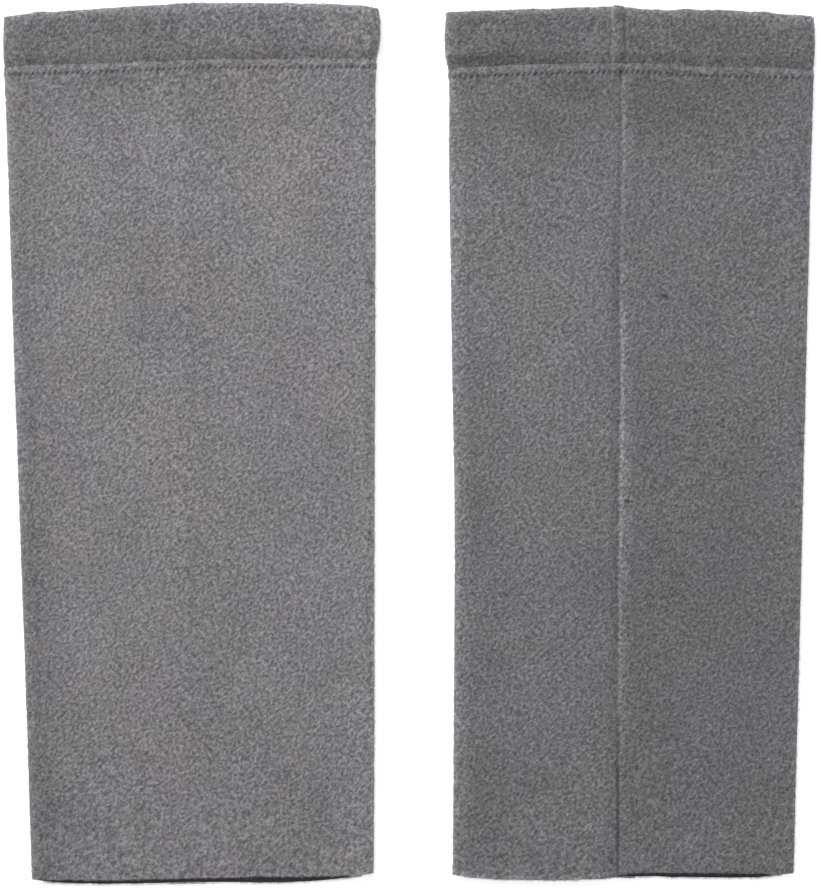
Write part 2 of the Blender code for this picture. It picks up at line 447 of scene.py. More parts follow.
def linear(code):
    """An sRGB hex colour as the linear red, green, blue and alpha that a shader takes."""
    values = [int(code[i:i + 2], 16) / 255 for i in (1, 3, 5)]
    return [v / 12.92 if v <= 0.04045 else ((v + 0.055) / 1.055) ** 2.4 for v in values] + [1.0]


def add(tree, kind, settings=(), get=0, **links):
    """Adds one node, with its settings and with links from other nodes, and gives one output.

    `settings` holds properties, and input values by name or number. A link's name is the input's
    name, or "in" and its number.
    """
    node = tree.nodes.new("ShaderNode" + kind)
    for name, value in dict(settings).items():
        if isinstance(name, int) or name in node.inputs:
            node.inputs[name].default_value = value
        else:
            setattr(node, name, value)
    for name, source in links.items():
        target = node.inputs[int(name[2:])] if name.startswith("in") else node.inputs[name]
        tree.links.new(source, target)
    return node.outputs[get]


def new_material(name, roughness, specular):
    """A new material, its node tree and its shader."""
    material = bpy.data.materials.new(name)
    material.use_nodes = True
    shader = material.node_tree.nodes["Principled BSDF"]
    shader.inputs["Roughness"].default_value = roughness
    shader.inputs["Specular IOR Level"].default_value = specular
    return material, material.node_tree, shader


def needle_holes(tree):
    """How far in a needle hole each place is, 0 to 1, from its place along and below the row.

    The holes slant a little, and each is a little more or less open than the next.
    """
    along = add(tree, "Attribute", {"attribute_name": "stitch_turn"}, "Fac")
    below = add(tree, "Attribute", {"attribute_name": "below_stitches"}, "Fac")
    slanted = add(tree, "Math", {"operation": "MULTIPLY_ADD", 1: HOLE_SLANT}, in0=below, in2=along)
    angle = add(tree, "Math", {"operation": "MULTIPLY", 1: 2 * math.pi}, in0=slanted)
    wave = add(tree, "Math", {"operation": "COSINE"}, in0=angle)
    within = add(tree, "MapRange", {"interpolation_type": "SMOOTHSTEP", "From Min": -0.1}, Value=wave)
    away = add(tree, "Math", {"operation": "ABSOLUTE"}, in0=below)
    near = add(tree, "MapRange", {"interpolation_type": "SMOOTHSTEP", "From Max": HOLE_REACH,
                                  "To Min": 1.0, "To Max": 0.0}, Value=away)
    number = add(tree, "Math", {"operation": "ROUND"}, in0=along)
    chance = add(tree, "TexWhiteNoise", {"noise_dimensions": "1D"}, "Value", W=number)
    size = add(tree, "MapRange", {"To Min": 0.4, "To Max": 1.2}, Value=chance)
    hole = add(tree, "Math", {"operation": "MULTIPLY"}, in0=within, in1=near)
    return add(tree, "Math", {"operation": "MULTIPLY"}, in0=hole, in1=size)


def brushed_knit(name, dark, light, side, hole_shade=0):
    """Polyester jersey raised with wire brushes, knitted from dark and light fibres mixed.

    To the eye it is matt, with no highlight, a faint pale sheen at a low angle and a soft grain of
    dark and light tufts. `hole_shade` is how much painted shade darkens its needle holes.
    """
    material, tree, shader = new_material(name, 0.92, 0.2)
    shader.inputs["Sheen Weight"].default_value = 0.35
    shader.inputs["Sheen Roughness"].default_value = 0.6
    place = add(tree, "TexCoord", get="Object")
    turned = add(tree, "Mapping", {"vector_type": "TEXTURE", "Rotation": (0, 0, NAP_LIE),
                                   "Scale": NAP_STRETCH}, Vector=place)
    tufts = add(tree, "TexNoise", {"Scale": 1000 / TUFT, "Detail": 1.5, "Roughness": 0.55},
                Vector=turned)
    fibres = add(tree, "TexNoise", {"Scale": 1000 / FIBRE, "Detail": 2.0, "Roughness": 0.6},
                 Vector=turned)
    both = add(tree, "Math", {"operation": "MULTIPLY_ADD", 1: 0.5}, in0=fibres, in2=tufts)
    even = add(tree, "MapRange", {"From Min": 0.45, "From Max": 1.05}, Value=both)
    mixed = add(tree, "Math", {"operation": "POWER", 1: 1.35}, in0=even)
    colour = add(tree, "Mix", {"data_type": "RGBA", 6: linear(dark), 7: linear(light)}, 2, Factor=mixed)

    tint, red, blue = CAST[side]
    clouds = add(tree, "TexNoise", {"Scale": 1000 / CLOUD, "Detail": 4.0, "Roughness": 0.62},
                 "Color", Vector=place)
    stray = add(tree, "VectorMath", {"operation": "SUBTRACT", 1: (0.5, 0.5, 0.5)}, in0=clouds)
    cast = add(tree, "VectorMath", {"operation": "MULTIPLY_ADD", 1: (red, 0, blue),
                                    2: linear(tint)[:3]}, in0=stray)
    tinted = add(tree, "VectorMath", {"operation": "MULTIPLY"}, in0=colour, in1=cast)
    tone = add(tree, "Attribute", {"attribute_name": "tone"}, "Fac")
    if hole_shade:
        holes = needle_holes(tree)
        # Painted shade in the needle holes, as well as their dent in the bump
        left_light = add(tree, "Math", {"operation": "MULTIPLY_ADD", 1: -hole_shade, 2: 1.0}, in0=holes)
        tone = add(tree, "Math", {"operation": "MULTIPLY"}, in0=tone, in1=left_light)
        both = add(tree, "Math", {"operation": "MULTIPLY_ADD", 1: -HOLE_DEPTH}, in0=holes, in2=both)
    toned = add(tree, "VectorMath", {"operation": "SCALE"}, in0=tinted, Scale=tone)
    tree.links.new(toned, shader.inputs["Base Color"])
    raised = add(tree, "Bump", {"Strength": 1.0, "Distance": NAP_RELIEF * MM}, Height=both)
    tree.links.new(raised, shader.inputs["Normal"])
    return material


TUFT = 1.45         # size of the nap's tufts, mm
FIBRE = 0.64        # size of single locks of fibre, coarser than real ones so that they show
CLOUD = 45.0        # size of the largest faintly tinted patches
NAP_RELIEF = 0.35   # height of the tufts
NAP_LIE = math.radians(45)        # the way the tufts lie, turned from the cross direction
NAP_STRETCH = (1.15, 0.9, 1.0)    # they are longer that way than across it
HOLE_REACH = 1.15   # a needle hole's reach above and below its row, mm
HOLE_SLANT = 0.10   # share of a stitch by which it moves over in each millimetre down
HOLE_DEPTH = 1.1    # against the height of the tufts
# The dye's slight mauve cast, and how far its red and its blue stray from patch to patch
CAST = {"left": ("#faf6f8", 0.29, 0.24), "right": ("#f8f6f7", 0.08, 0.22)}
# The right warmer's copy is painted darker: shade of its nap, which lies away from the light
outside = {
    "left": brushed_knit("brushed_knit_front", "#4e4d50", "#abaaae", "left", 0.30),
    "right": brushed_knit("brushed_knit_back", "#49474b", "#a19fa4", "right", 0.46),
}


def brushed_inside():
    """The knit's inner face, a near-black fleece: quite matt and soft, seen only at the openings."""
    material, tree, shader = new_material("dark_fleece_inside", 1.0, 0.1)
    place = add(tree, "TexCoord", get="Object")
    fleece = add(tree, "TexNoise", {"Scale": 1000 / FIBRE, "Detail": 2.0}, Vector=place)
    colour = add(tree, "Mix", {"data_type": "RGBA", 6: linear("#38373a"), 7: linear("#5a585c")}, 2,
                 Factor=fleece)
    tree.links.new(colour, shader.inputs["Base Color"])
    raised = add(tree, "Bump", {"Strength": 0.8, "Distance": 0.2 * MM}, Height=fleece)
    tree.links.new(raised, shader.inputs["Normal"])
    return material


inside_face = brushed_inside()

# The turned-in edge of a body: below the seam, flattened thickness, depth into the wall
EDGE_ROWS = [
    (-0.6, STRIP_RISE, 0.85),
    (-0.25, STRIP_RISE, 0.52),
    (0.0, STRIP_RISE, 0.4),
    (0.3, STRIP_RISE, 0.31),
    (0.6, STRIP_RISE, 0.24),
    (1.0, STRIP_RISE, 0.16),
    (1.45, STRIP_RISE, 0.09),
    (1.9, STRIP_RISE, 0.03),
    (2.3, STRIP_RISE, 0.0),
    (2.7, 5.38, 0.0),
    (3.05, 5.35, 0.0),
    (3.4, 5.3, 0.0),
    (3.7, 5.24, 0.0),
    (STITCH_DOWN, 5.17, 0.0),
    (4.35, 5.1, 0.0),
    (4.8, 5.03, 0.0),
    (5.6, 4.95, 0.0),
]

# Below it the flattened body thins slowly: distance below the seam, thickness
BODY_RISES = [
    (5.6, 4.95),
    (10.0, 4.72),
    (20.0, 4.4),
    (35.0, BODY_RISE),
    (295.0, BODY_RISE),
    (371.5, HEM_RISE),
]


def body_rows():
    """Rings of a body's wall: down the outside, round the cut and up the inside."""
    rows = list(EDGE_ROWS)
    start = EDGE_ROWS[-1][0]
    span = BODY_LENGTH - start
    count = round(span / ROW_STEP)
    for k in range(1, count + 1):
        along = start + span * k / count
        rows.append((along, float(smooth(BODY_RISES, 1, along)), 0.0))
    # The cut is rounded off above and nearly square below
    rows[-1] = (BODY_LENGTH - 0.35, HEM_RISE, 0.04)
    rows += [(BODY_LENGTH - 0.1, HEM_RISE, 0.18), (BODY_LENGTH, HEM_RISE, 0.45)]
    rows.append((BODY_LENGTH, HEM_RISE, PLY - 0.3))
    outer = len(rows)
    rows.append((BODY_LENGTH - 0.15, HEM_RISE, PLY))
    for k in range(1, INNER_RINGS + 1):
        rows.append((BODY_LENGTH - span * k / INNER_RINGS, BODY_RISE, PLY))
    rows += [(STITCH_DOWN, STRIP_RISE, TURN_IN_WALL), (0.7, STRIP_RISE, TURN_IN_WALL)]
    rows.append((-0.6, STRIP_RISE, TURN_IN_WALL - 0.4))
    return rows, outer


INNER_RINGS = 10
BODY_SEED = {"left": 10, "right": 40}
# Slow waves of cloth that isn't ironed and tufts of nap: size, height, number of the draw
BODY_WAVES = [(38, 0.16, 0), (14, 0.06, 1), (4.2, 0.03, 2), (2.2, 0.035, 6)]
BODY_CLOUDS = [(30, 0.036, 4), (11, 0.028, 5)]      # the same for the faint clouds in its tone
BODY_TONE = {"left": 0.920, "right": 0.903}         # the right one is painted darker, as shade of its nap lying away from the light
STRIP_LIGHT_AND_SHADE = {"left": -0.09, "right": 0.12}         # painted shade on the left's turned-in edge, painted light on the right's
DIP_SHADE = {"left": 0.17, "right": 0.04}            # painted shade where it dips under the band
PIT_DEPTH = {"left": 0.32, "right": 0.42}           # of the cloth at a needle hole, mm
STITCH_ROW = {"left": STITCH_DOWN, "right": 4.35}   # the needle's row isn't quite alike on both
# Painted light and shade of the back seam: distance below the band, painted light on its right side,
# painted shade of its groove and beside it
SEAM_LIGHT_AND_SHADE = [
    (0.0, 0.18, 0.05, 0.0),
    (10.0, 0.20, 0.05, -0.06),
    (34.0, 0.27, 0.06, -0.06),
    (52.0, 0.18, 0.06, 0.02),
    (66.0, 0.05, 0.12, 0.06),
    (92.0, 0.05, 0.20, 0.14),
    (106.0, 0.22, 0.16, 0.16),
    (120.0, 0.44, 0.10, 0.13),
    (136.0, 0.44, 0.02, 0.08),
    (205.0, 0.40, 0.02, 0.08),
    (240.0, 0.30, 0.16, 0.08),
    (290.0, 0.27, 0.14, 0.09),
    (308.0, 0.08, 0.34, 0.09),
    (327.0, -0.04, 0.56, 0.10),
    (362.0, -0.04, 0.56, 0.10),
    (371.5, 0.0, 0.1, 0.10),
]
TACK = (92.5, 391.6)       # stitch that holds the back seam's allowance: x, distance down
bodies, grids, stitch_rings = {}, {}, {}
for side in ("left", "right"):
    rows, outer = body_rows()
    along, rise, depth = zip(*rows)
    points, out_x, out_z, across, offset, layer = tube(side, "body", along, rise, depth)
    down, inset = np.array(along)[:, None], np.array(depth)[:, None]
    seed = BODY_SEED[side]
    length = points[..., 1]
    on_top, beneath = layer == 1, layer == 0
    to_hem = BODY_LENGTH - down
    stitched = down - STITCH_ROW[side]
    row = along.index(STITCH_ROW[side])
    phase, stitches = stitch_phase(points[row])
    stitch_rings[side] = (points[row], out_x[row], out_z[row], phase, stitches)

    push = swellings(BODY_WAVES, across, length, seed)
    # Needle holes of the topstitch, and the small puckers that they pull above and below
    slant = np.cos(phase + 0.6 * stitched)
    pit = bell(stitched, 0.85) * np.clip((slant + 0.35) / 1.35, 0, 1) ** 1.3
    push -= PIT_DEPTH[side] * pit
    push += 0.18 * bell(stitched, 0.9) * np.clip(-slant, 0, 1)
    push += 0.12 * np.cos(phase + 0.9) * bell(down - 2.0, 1.3)
    push += 0.04 * bell(down - 6.2, 1.0)
    push -= 0.06 * np.cos(phase) * bell(down - 6.0, 2.2)
    # The seam above pulls the edge in at each of its stitches
    push -= 0.14 * bell(down - 0.9, 0.7) * np.clip(np.cos(phase + 2.0), 0, 1)
    if side == "right":
        # The back seam's own stitches, along the groove
        rung = np.clip(np.cos(length / STITCH * 2 * np.pi), 0, 1)
        push -= 0.20 * bell(offset, 0.8) * rung * on_top
        # The allowance is tacked down a little above the hem
        tack = bell(points[..., 0] - TACK[0], 0.9) * bell(LENGTH / 2 - length - TACK[1], 1.2) * on_top
        push -= 0.5 * tack
    share = np.clip(1 - inset / 0.6, 0, 1)
    points = pushed(points, out_x, out_z, layer, push * share)
    # Underneath, the topstitch is drawn in as well, and so is the left warmer's back seam
    drawn_in = 0.38 * bell(stitched, 0.8)
    if side == "left":
        drawn_in = drawn_in + 0.35 * bell(offset, 0.9)
    points[..., 2] += drawn_in * beneath * share
    # The raw cut wanders a little, differently on the two layers
    wander = 0.10 * swell(across, 0 * length + 50 * layer, 5, seed + 3)
    points[..., 1] += wander * bell(to_hem, 5)

    # Tone of the nap: faint clouds, painted patches of light and shade, and painted shade along the
    # topstitch
    tone = 1 + swellings(BODY_CLOUDS, across, length, seed)
    tone *= painted_shading(PAINTED_SHADING_AND_SPECKS[side], points, layer) * fold_rim_shading(side, points, layer)
    tone *= 1 - 0.05 * bell(stitched, 0.9)
    # Painted light and shade on the turned-in edge, and painted shade where it dips under the band
    tone *= BODY_TONE[side] * (1 + STRIP_LIGHT_AND_SHADE[side] * bell(down - 1.9, 2.0))
    tone *= 1 - DIP_SHADE[side] * bell(down + 0.1, 0.6)
    # Painted shade in the topstitch's groove underneath
    tone *= 1 - 0.12 * bell(stitched, 0.9) * beneath
    if side == "left":
        # Painted light and shade beside the seam drawn in underneath
        tone *= 1 + (0.22 * bell(offset + 1.6, 0.9) - 0.34 * bell(offset - 0.2, 1.0)) * beneath
    # Painted light along the cut edge, for its raised nap catching light
    tone *= 1 + 0.30 * bell(to_hem, 0.9) * (layer > 0.5)
    if side == "right":
        # Right of the back seam it is a little darker, and the seam has painted light and shade
        step = 1 / (1 + np.exp(-offset / 1.2))
        tone *= 1 - 0.08 * step * (layer > 0.5)
        tone *= 1 - smooth(SEAM_LIGHT_AND_SHADE, 3, down) * bell(offset + 2.2, 2.6) * on_top
        tone *= 1 - smooth(SEAM_LIGHT_AND_SHADE, 2, down) * bell(offset + 0.2, 0.8) * on_top
        lit = smooth(SEAM_LIGHT_AND_SHADE, 1, down) * on_top
        tone *= 1 + lit * (1.12 * bell(offset - 1.25, 0.7) + 0.6 * bell(offset - 3.2, 2.8))
        # Painted shade in the tack's dimple
        tone *= 1 - 0.35 * tack
        # Left of the seam, more painted light along the cut edge, for its nap standing up over the
        # under layer's hem
        left_half = np.clip((90 - points[..., 0]) / 12, 0, 1) * (layer > 0.5)
        tone *= 1 + 0.50 * bell(to_hem, 1.5) * left_half
    body = cloth_wall(side + "_body_knit", points, outer, tone)
    mark(body, "stitch_turn", np.ones_like(down) * phase / (2 * np.pi))
    mark(body, "below_stitches", stitched * np.ones_like(phase))
    body.data.materials.append(outside[side])
    body.data.materials.append(inside_face)
    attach(body, "root")
    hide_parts(side + "_body")
    bodies[side] = body
    # How thick the nap stands: thin in the seams and the topstitch, thick on the side folds
    thick = 1 - 0.8 * bell(stitched, 0.9) - 0.6 * bell(down, 0.8)
    if side == "right":
        thick = thick * (1 - 0.8 * bell(offset, 1.0) * on_top)
    thick = thick * (1 + 1.5 * np.abs(out_x)) * np.ones_like(layer)
    grids[side] = (points[:outer], layer[:outer], thick[:outer])


# Bands
# Each band is a strip of the same knit, folded double along its top edge and sewn to the body at
# its lower one. The seam pulls its lower edge in, and the back seam's plies make a lump in it.

# Painted light and shade in soft patches, in the same columns as a body's
BAND_PAINTED_SHADING = {
    "left": [
        (-25, 15, 26, 14, 0, 0.19),
        (-182, 12, 10, 5, 90, 0.10),
        (-120, 19, 50, 5, 4, -0.03),
        (-140, 9, 45, 3.5, -2, -0.06),
        (-100, 12, 40, 3.5, -2, -0.05),
        (-110, 20.5, 32, 2.6, 2, 0.06),
        (-172, 22, 14, 4, 0, -0.06),
        (-150, 13, 18, 6, 0, -0.09),
        (-118, 14, 12, 5, 0, -0.08),
        (-77, 11, 12, 7, 0, 0.06),
        (-50, 8, 8, 5, 0, 0.04),
        (-19, 13, 7, 14, 0, 0.13),
    ],
    "right": [
        (84, 18, 12, 10, 90, 0.17),
        (176, 9, 13, 4, 5, 0.10),
        (36, 25.5, 17, 3.2, 2, -0.36),
        (30, 9, 16, 4, 0, -0.11),
        (155, 21, 23, 4, 0, -0.05),
        (24, 26.8, 9, 2.0, 0, -0.22),
        (60, 12, 8, 6, 0, -0.06),
        (148, 16, 14, 5, 0, -0.05),
    ],
}
# The right band's copy is painted darker: shade of its nap, which lies away from the light
doubled = {
    "left": brushed_knit("brushed_knit_band_front", "#3f3e41", "#949396", "left"),
    "right": brushed_knit("brushed_knit_band_back", "#3c3a3e", "#8a888c", "right"),
}
BAND_SEED = {"left": 20, "right": 50}
BAND_WAVES = [(26, 0.10, 0), (9, 0.08, 1), (4.0, 0.05, 2), (2.2, 0.03, 6)]
BAND_CLOUDS = [(24, 0.032, 4), (9, 0.026, 5)]
FOLD_LIGHT = {"left": (0.38, 2.4), "right": (0.36, 1.9)}   # painted highlight over the top fold, and its reach
BAND_RISE = 6.2            # flattened thickness
BAND_STEP = 0.6            # grid down the band
FOLD_STEPS = 12            # and over its top fold

# Rings round the lower edge, which the seam draws in: distance from the seam, depth into the wall
LOWER_EDGE = [
    (0.6, 0.75),
    (0.35, 0.42),
    (0.1, 0.18),
    (-0.25, 0.05),
    (-0.7, 0.0),
    (-1.3, 0.0),
]


def band_rows():
    """Rings of a band's wall: up the outer ply, over the fold, down the inner ply, round the slit.

    Also gives the number of rings that show outside, up to the middle of the fold.
    """
    rows = [(BAND_HEIGHT + below, depth) for below, depth in LOWER_EDGE]
    turn = BAND_WALL / 2
    start = BAND_HEIGHT - 2.2
    count = round((start - turn) / BAND_STEP)
    rows += [(start - (start - turn) * k / count, 0.0) for k in range(count)]
    for k in range(FOLD_STEPS + 1):
        angle = math.pi * k / FOLD_STEPS
        rows.append((turn - turn * math.sin(angle), turn - turn * math.cos(angle)))
    shown = len(rows) - FOLD_STEPS // 2
    slit_top = turn + PLY
    rows += [(BAND_HEIGHT * 0.5, BAND_WALL), (BAND_HEIGHT, BAND_WALL)]
    rows += [(BAND_HEIGHT, PLY + SEAM_GAP), (slit_top, PLY + SEAM_GAP)]
    rows += [(slit_top, PLY), (BAND_HEIGHT, PLY)]
    return rows, shown


for side in ("left", "right"):
    rows, shown = band_rows()
    along, depth = zip(*rows)
    rise = [BAND_RISE] * len(along)
    points, out_x, out_z, across, offset, layer = tube(side, "band", along, rise, depth)
    down, inset = np.array(along)[:, None], np.array(depth)[:, None]
    seed = BAND_SEED[side]
    length = points[..., 1]
    to_seam = BAND_HEIGHT - down
    phase, _ = stitch_phase(points[0])

    # The doubled cloth rolls softly, highest a third of the way down, and puckers at the seam
    push = swellings(BAND_WAVES, across, length, seed)
    push -= 1.0 * np.clip(1 - down / 5.5, 0, 1) ** 2
    push -= 0.15 * np.clip((down - 8) / 13, 0, 1) ** 2
    push -= 1.05 * np.clip((down - 20.4) / 4.7, 0, 1) ** 1.15
    push -= 0.14 * bell(to_seam - 0.6, 1.1) * np.clip(np.cos(phase + 2.0), 0, 1)
    share = np.clip(1 - inset / BAND_WALL, 0, 1)
    points = pushed(points, out_x, out_z, layer, push * share)
    points[..., 1] += 0.12 * swell(across, 0 * length, 7, seed + 3) * bell(down, 3)

    tone = 1 + swellings(BAND_CLOUDS, across, length, seed)
    tone *= painted_shading(BAND_PAINTED_SHADING[side], points, layer) * fold_rim_shading(side, points, layer)
    # Painted highlight over the top fold and painted shade just above the seam
    lift, reach = FOLD_LIGHT[side]
    tone *= 1 + lift * bell(down - 0.6, reach) - 0.04 * bell(to_seam - 2.5, 2.5)
    if side == "left":
        # Painted light and shade beside the seam underneath
        tone *= 1 + (0.14 * bell(offset + 2.2, 1.2) - 0.26 * bell(offset - 0.4, 1.0)) * (layer == 0)
    else:
        # Light and shade on the lump of the back seam's plies
        edge = bell(offset + 5.1 + 0.14 * np.clip(down - 17, 0, 9), 0.6)
        beside = 0.19 * bell(offset + 3.4, 0.8) - 0.06 * bell(offset - 2.0, 1.1) - 0.18 * edge
        tone *= 1 + beside * (layer == 1)
    band = cloth_wall(side + "_band_knit", points, shown, tone)
    band.data.materials.append(doubled[side])
    band.data.materials.append(inside_face)
    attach(band, "root")
    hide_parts(side + "_band")
    # Its nap stands thick on the side folds and the top fold, and thin at the seam
    thick = (1 + 1.5 * np.abs(out_x)) * (1 + 2.0 * bell(down, 1.5)) * (1 - 0.6 * bell(to_seam, 0.8))
    grids[side + "_band"] = (points[:shown], layer[:shown], thick[:shown])


# Topstitching
# One row of polyester thread in the cloth's grey holds the turned-in edge down, right round each
# tube. The thread dives into a needle hole every 2.6 mm and hardly shows above the nap.

THREAD = 0.16          # radius as it lies in the nap, mm
THREAD_DIVE = 0.60     # depth at a needle hole, below the cloth's face
THREAD_RISE = 0.48     # how much less deep it lies halfway along a stitch
THREAD_TWIST = 0.4     # size of the mottle that its plies make
THREAD_SIDES = 5
THREAD_STEPS = 7


def sewing_thread():
    """Spun polyester sewing thread: a little smoother and darker than the nap round it."""
    material, tree, shader = new_material("grey_polyester_thread", 0.6, 0.3)
    place = add(tree, "TexCoord", get="Object")
    ply = add(tree, "TexNoise", {"Scale": 1000 / THREAD_TWIST, "Detail": 1.0}, Vector=place)
    colour = add(tree, "Mix", {"data_type": "RGBA", 6: linear("#5a585b"), 7: linear("#7a787c")}, 2,
                 Factor=ply)
    tree.links.new(colour, shader.inputs["Base Color"])
    return material


thread_material = sewing_thread()


def thread_runs(name, paths, radius):
    """One mesh of short round threads, each along its own path of points, with closed ends."""
    verts, faces = [], []
    for path in paths:
        path = np.array(path)
        count = len(path)
        base = len(verts)
        ahead = np.gradient(path, axis=0)
        ahead /= np.linalg.norm(ahead, axis=1)[:, None]
        side_way = np.cross(ahead, (0.0, 0.0, 1.0))
        side_way /= np.maximum(np.linalg.norm(side_way, axis=1), 1e-6)[:, None]
        up_way = np.cross(side_way, ahead)
        for k in range(count):
            for s in range(THREAD_SIDES):
                turn = 2 * math.pi * s / THREAD_SIDES
                away = math.cos(turn) * side_way[k] + math.sin(turn) * up_way[k]
                verts.append(path[k] + radius * away)
        for k in range(count - 1):
            for s in range(THREAD_SIDES):
                a = base + k * THREAD_SIDES + s
                b = base + k * THREAD_SIDES + (s + 1) % THREAD_SIDES
                faces.append((a, b, b + THREAD_SIDES, a + THREAD_SIDES))
        faces.append([base + s for s in reversed(range(THREAD_SIDES))])
        faces.append([base + (count - 1) * THREAD_SIDES + s for s in range(THREAD_SIDES)])
    mesh = bpy.data.meshes.new(name)
    mesh.from_pydata((np.array(verts) * MM).tolist(), [], faces)
    piece = new_piece(name, mesh)
    mesh.materials.append(thread_material)
    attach(piece, "root")
    return piece


for side in ("left", "right"):
    ring, out_x, out_z, phase, stitches = stitch_rings[side]
    # Stitch number of each point of the ring, and the ring closed on itself
    turns = np.append(phase, stitches * 2 * np.pi) / (2 * np.pi)
    closed = np.vstack([ring, ring[:1]])
    normal = np.stack([out_x, 0 * out_x, out_z], axis=-1)
    normal = np.vstack([normal, normal[:1]])
    paths = []
    for k in range(stitches):
        at = k + np.linspace(0.04, 0.96, THREAD_STEPS)
        lie = -THREAD_DIVE + THREAD_RISE * np.sin(np.linspace(0, math.pi, THREAD_STEPS)) ** 0.6
        here = np.stack([np.interp(at, turns, closed[:, i]) for i in range(3)], axis=-1)
        way = np.stack([np.interp(at, turns, normal[:, i]) for i in range(3)], axis=-1)
        path = here + way * lie[:, None]
        path[:, 2] = np.maximum(path[:, 2], THREAD + 0.02)
        paths.append(path)
    thread_runs(side + "_topstitch", paths, THREAD)


# Nap
# Brushing the knit pulls up a fuzz of fine fibres, 1 to 3 mm long, that lie mostly one way along
# the leg and stand out at the folds and cut edges. They are drawn coarser than real ones, to show.

FIBRE_WIDTH = 0.13     # mm at the root
NAP_ON_BODY = 52000    # number of fibres
NAP_ON_BAND = 5000
HEM_FUZZ = 1400        # and along a cut edge
SIDE_FUZZ = 3600       # and along each side fold of a body
BAND_SIDE_FUZZ = SIDE_FUZZ // 14
BAND_TOP_FUZZ = SIDE_FUZZ // 2
NAP_SEEDS = {"body": 61, "hem": 62, "under_hem": 63, "band": 64, "side": 65, "band_side": 75,
             "band_top": 78, "fluff": 90, "mix": 7, "stray": 8}
FIBRE_TUFT = 1.6       # size of the tufts in which fibres of like tone gather
BODY_RING = 40         # rings clear of the seams, on which the side folds are looked for
BAND_RING = 20
BAND_COLUMN = 60       # and a column of points, on which the top fold is


def nap_fibre(name, code):
    """A single brushed-up polyester fibre: matt grey, a little lighter or darker than the cloth."""
    material, _, shader = new_material(name, 0.9, 0.2)
    shader.inputs["Base Color"].default_value = linear(code)
    return material


nap_tones = (-0.45, 0.45, 1.5)   # where in the mix the mid, the light and the few pale fibres start
# The right warmer's fibres are painted darker: shade of its nap, which lies away from the light
nap_colours = {
    "left": [nap_fibre("nap_dark", "#5b5a5c"), nap_fibre("nap_mid", "#777679"),
             nap_fibre("nap_light", "#a4a2a5"), nap_fibre("nap_pale", "#c0bec2")],
    "right": [nap_fibre("nap_dark_back", "#515052"), nap_fibre("nap_mid_back", "#6a696c"),
              nap_fibre("nap_light_back", "#949296"), nap_fibre("nap_pale_back", "#b7b5b9")],
}


def fibres(roots, ahead, beside, normal, length, yaw, tilt, draw, paler=0):
    """Curved tapering fibres: three triangles each, from roots, directions, lengths and angles."""
    way = np.cos(yaw)[:, None] * ahead + np.sin(yaw)[:, None] * beside
    lean = np.cos(tilt)[:, None] * way + np.sin(tilt)[:, None] * normal
    width = np.cross(lean, normal)
    width *= (FIBRE_WIDTH / 2) / np.maximum(np.linalg.norm(width, axis=1), 1e-6)[:, None]
    curl = draw.normal(0, 0.16, len(roots))[:, None] * np.cross(normal, way)
    half = length[:, None] * 0.5
    root = roots - 0.12 * normal
    middle = roots + lean * half
    tip = middle + (lean + curl * 2 - normal * np.sin(tilt)[:, None] * 0.7) * half
    corners = np.stack([root - width, root + width,
                        middle + width * 0.8, middle - width * 0.8, tip], axis=1)
    corners[..., 2] = np.maximum(corners[..., 2], 0.01)
    base = np.arange(len(roots))[:, None] * 5
    return corners.reshape(-1, 3), base + [0, 1, 2, 3], base + [3, 2, 4], paler


def nap(name, side, parts):
    """One mesh of all of a piece's fibres, in tones that gather in tufts."""
    verts, quads, tips, paler, count = [], [], [], [], 0
    for corners, quad, tip, pale in parts:
        verts.append(corners)
        paler.append(np.full(len(quad), pale))
        quads.append(quad + count)
        tips.append(tip + count)
        count += len(corners)
    verts, quads, tips = np.vstack(verts), np.vstack(quads), np.vstack(tips)
    mesh = bpy.data.meshes.new(name)
    mesh.from_pydata((verts * MM).tolist(), [], quads.tolist() + tips.tolist())
    roots = verts[::5]
    stray = np.random.default_rng(NAP_SEEDS["stray"]).normal(0, 0.5, len(roots))
    mix = swell(roots[:, 0], roots[:, 1], FIBRE_TUFT, NAP_SEEDS["mix"]) + stray
    shade = np.clip(np.digitize(mix, nap_tones) + np.concatenate(paler), 0, 3).astype(np.int32)
    mesh.polygons.foreach_set("material_index", np.concatenate([shade, shade]))
    piece = new_piece(name, mesh)
    for material in nap_colours[side]:
        mesh.materials.append(material)
    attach(piece, "root")
    return piece


